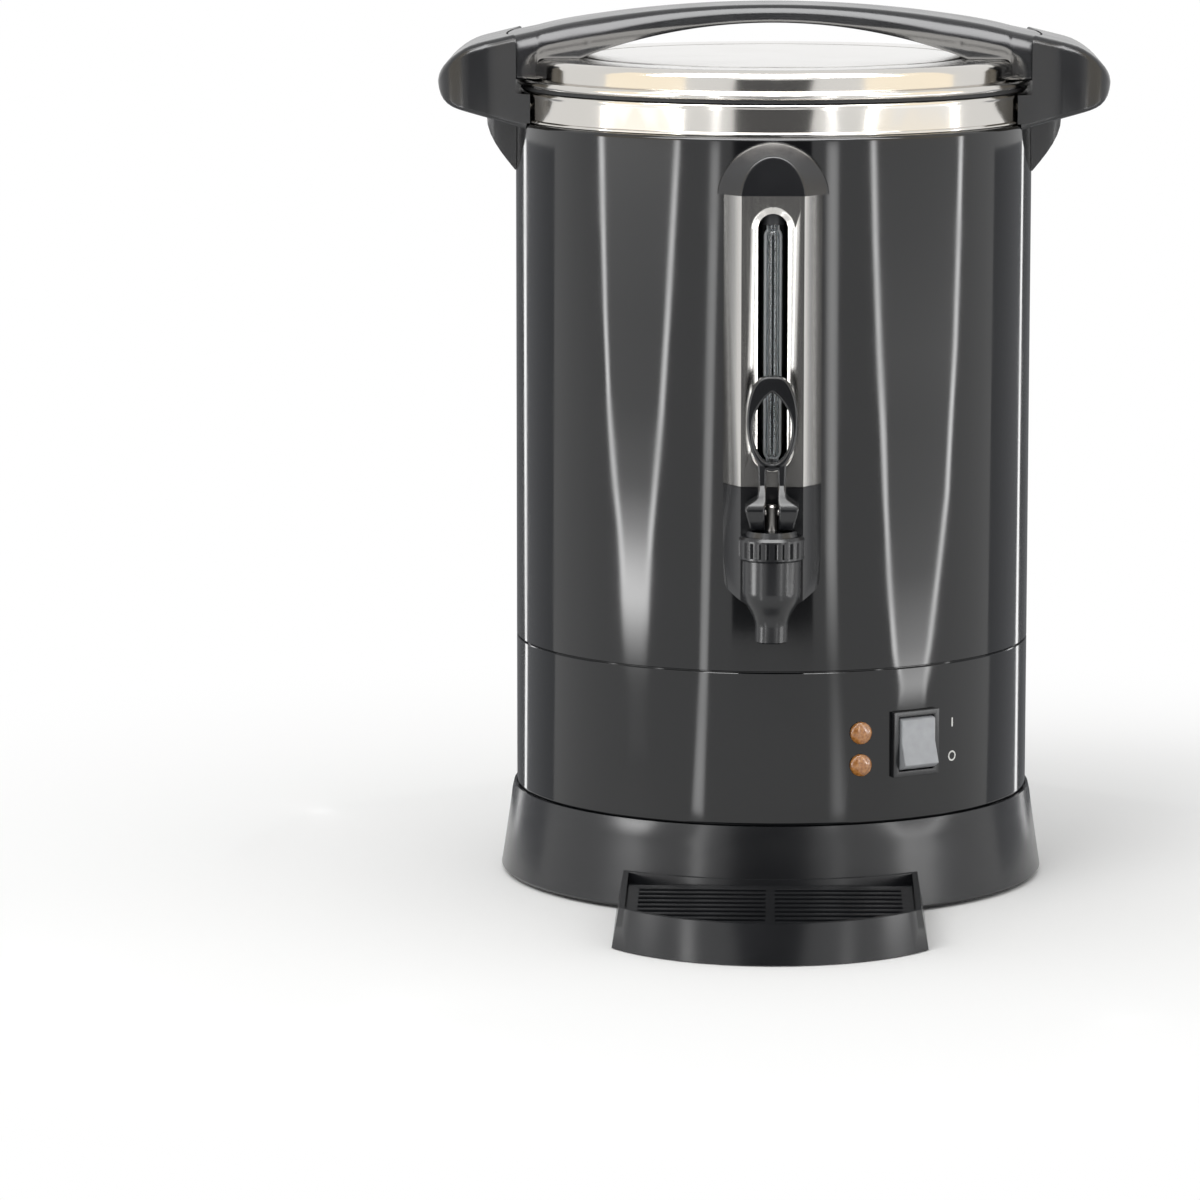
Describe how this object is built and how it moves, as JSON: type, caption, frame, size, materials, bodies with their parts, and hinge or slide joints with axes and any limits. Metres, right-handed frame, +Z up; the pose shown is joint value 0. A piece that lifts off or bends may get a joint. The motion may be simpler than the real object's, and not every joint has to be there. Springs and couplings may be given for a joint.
{
  "type": "coffee urn",
  "caption": "Double-walled electric coffee urn with a lift-off lid and strap handle, side ears, a sight gauge, a lever tap, a rocker switch and a pull-out drip tray.",
  "frame": {"origin": "on the urn's axis, on the surface that its feet stand on", "axes": "+Z up along the urn's axis, -Y towards the tap and the drip tray, +X towards the switch"},
  "size_m": [0.2972, 0.341, 0.3911],
  "materials": {
    "black_paint": "gloss black enamel",
    "black_plastic": "satin black moulded plastic",
    "polished_steel": "polished stainless steel",
    "steel": "plain stainless steel",
    "aluminium": "mill finish",
    "rubber": "matt black rubber",
    "silicone": "dark grey silicone",
    "clear_tube": "clear polycarbonate tube",
    "amber_lens": "amber lens",
    "grey_plastic": "grey moulded plastic",
    "ceramic": "heat-proof moulding",
    "brass": "bare"
  },
  "bodies": {
    "urn": {"base_skirt": "black_plastic", "base_plate": "black_plastic", "feet": "rubber", "base_screws": "steel", "lower_shell": "black_paint", "upper_shell": "black_paint", "inner_pot": "polished_steel", "left_ear": "black_plastic", "right_ear": "black_plastic", "ear_screws": "steel", "gauge_cover": "polished_steel", "gauge_cap": "black_plastic", "cap_screw": "steel", "sight_tube": "clear_tube", "gauge_seals": "silicone", "tap_housing": "black_plastic", "tap_body": "black_plastic", "tap_bonnet": "black_plastic", "shank_nut": "black_plastic", "shank_washers": "silicone", "shank_spacer": "grey_plastic", "switch_frame": "black_plastic", "switch_body": "grey_plastic", "lamp_lenses": "amber_lens", "lamp_holders": "grey_plastic", "heat_plate": "aluminium", "heater_ring": "steel", "heater_clamp": "steel", "thermostat": "ceramic", "thermal_cutout": "ceramic", "terminal_block": "ceramic", "tie_rod": "steel", "tie_nuts": "steel", "inlet_socket": "black_plastic", "inlet_pins": "brass", "inlet_screws": "steel"},
    "lid_ring": {"lid_seal": "silicone"},
    "lid": {"lid_pan": "polished_steel", "strap_handle": "black_plastic", "strap_screws": "steel"},
    "valve": {"valve_stem": "steel", "seat_cup": "silicone", "lever_pin": "steel"},
    "lever": {"tap_lever": "black_plastic"},
    "switch_rocker": {"rocker": "grey_plastic"},
    "tray": {"drip_tray": "black_plastic"},
    "grille": {"drip_grille": "black_plastic"},
    "percolator": {"pump_base": "steel", "pump_tube": "steel", "coffee_basket": "steel", "basket_spreader": "steel"}
  },
  "joints": [
    {"name": "lid_lift", "type": "slide", "parent": "urn", "child": "lid_ring", "axis": [0, 0, 1], "range_m": [0, 0.06]},
    {"name": "lid_turn", "type": "hinge", "parent": "lid_ring", "child": "lid", "pos_m": [0, 0, 0.357], "axis": [0, 0, 1], "range_deg": [0, 30]},
    {"name": "valve_lift", "type": "slide", "parent": "urn", "child": "valve", "axis": [0, 0, 1], "range_m": [0, 0.00393], "stiffness_N_per_m": 600, "springref_m": -0.003},
    {"name": "lever_tilt", "type": "hinge", "parent": "valve", "child": "lever", "pos_m": [0, -0.15, 0.1826], "axis": [1, 0, 0], "range_deg": [0, 75]},
    {"name": "rocker_tip", "type": "hinge", "parent": "urn", "child": "switch_rocker", "pos_m": [0.06209, -0.09561, 0.0742], "axis": [0.8387, 0.5446, 0], "range_deg": [0, 18]},
    {"name": "tray_slide", "type": "slide", "parent": "urn", "child": "tray", "axis": [0, -1, 0], "range_m": [0, 0.06]},
    {"name": "grille_lift", "type": "slide", "parent": "tray", "child": "grille", "axis": [0, 0, 1], "range_m": [0, 0.03]},
    {"name": "percolator_lift", "type": "slide", "parent": "urn", "child": "percolator", "axis": [0, 0, 1], "range_m": [0, 0.025]}
  ],
  "couplings": [
    {"joint": "lever_tilt", "follows": "valve_lift", "rad_per_m": 333.33}
  ]
}
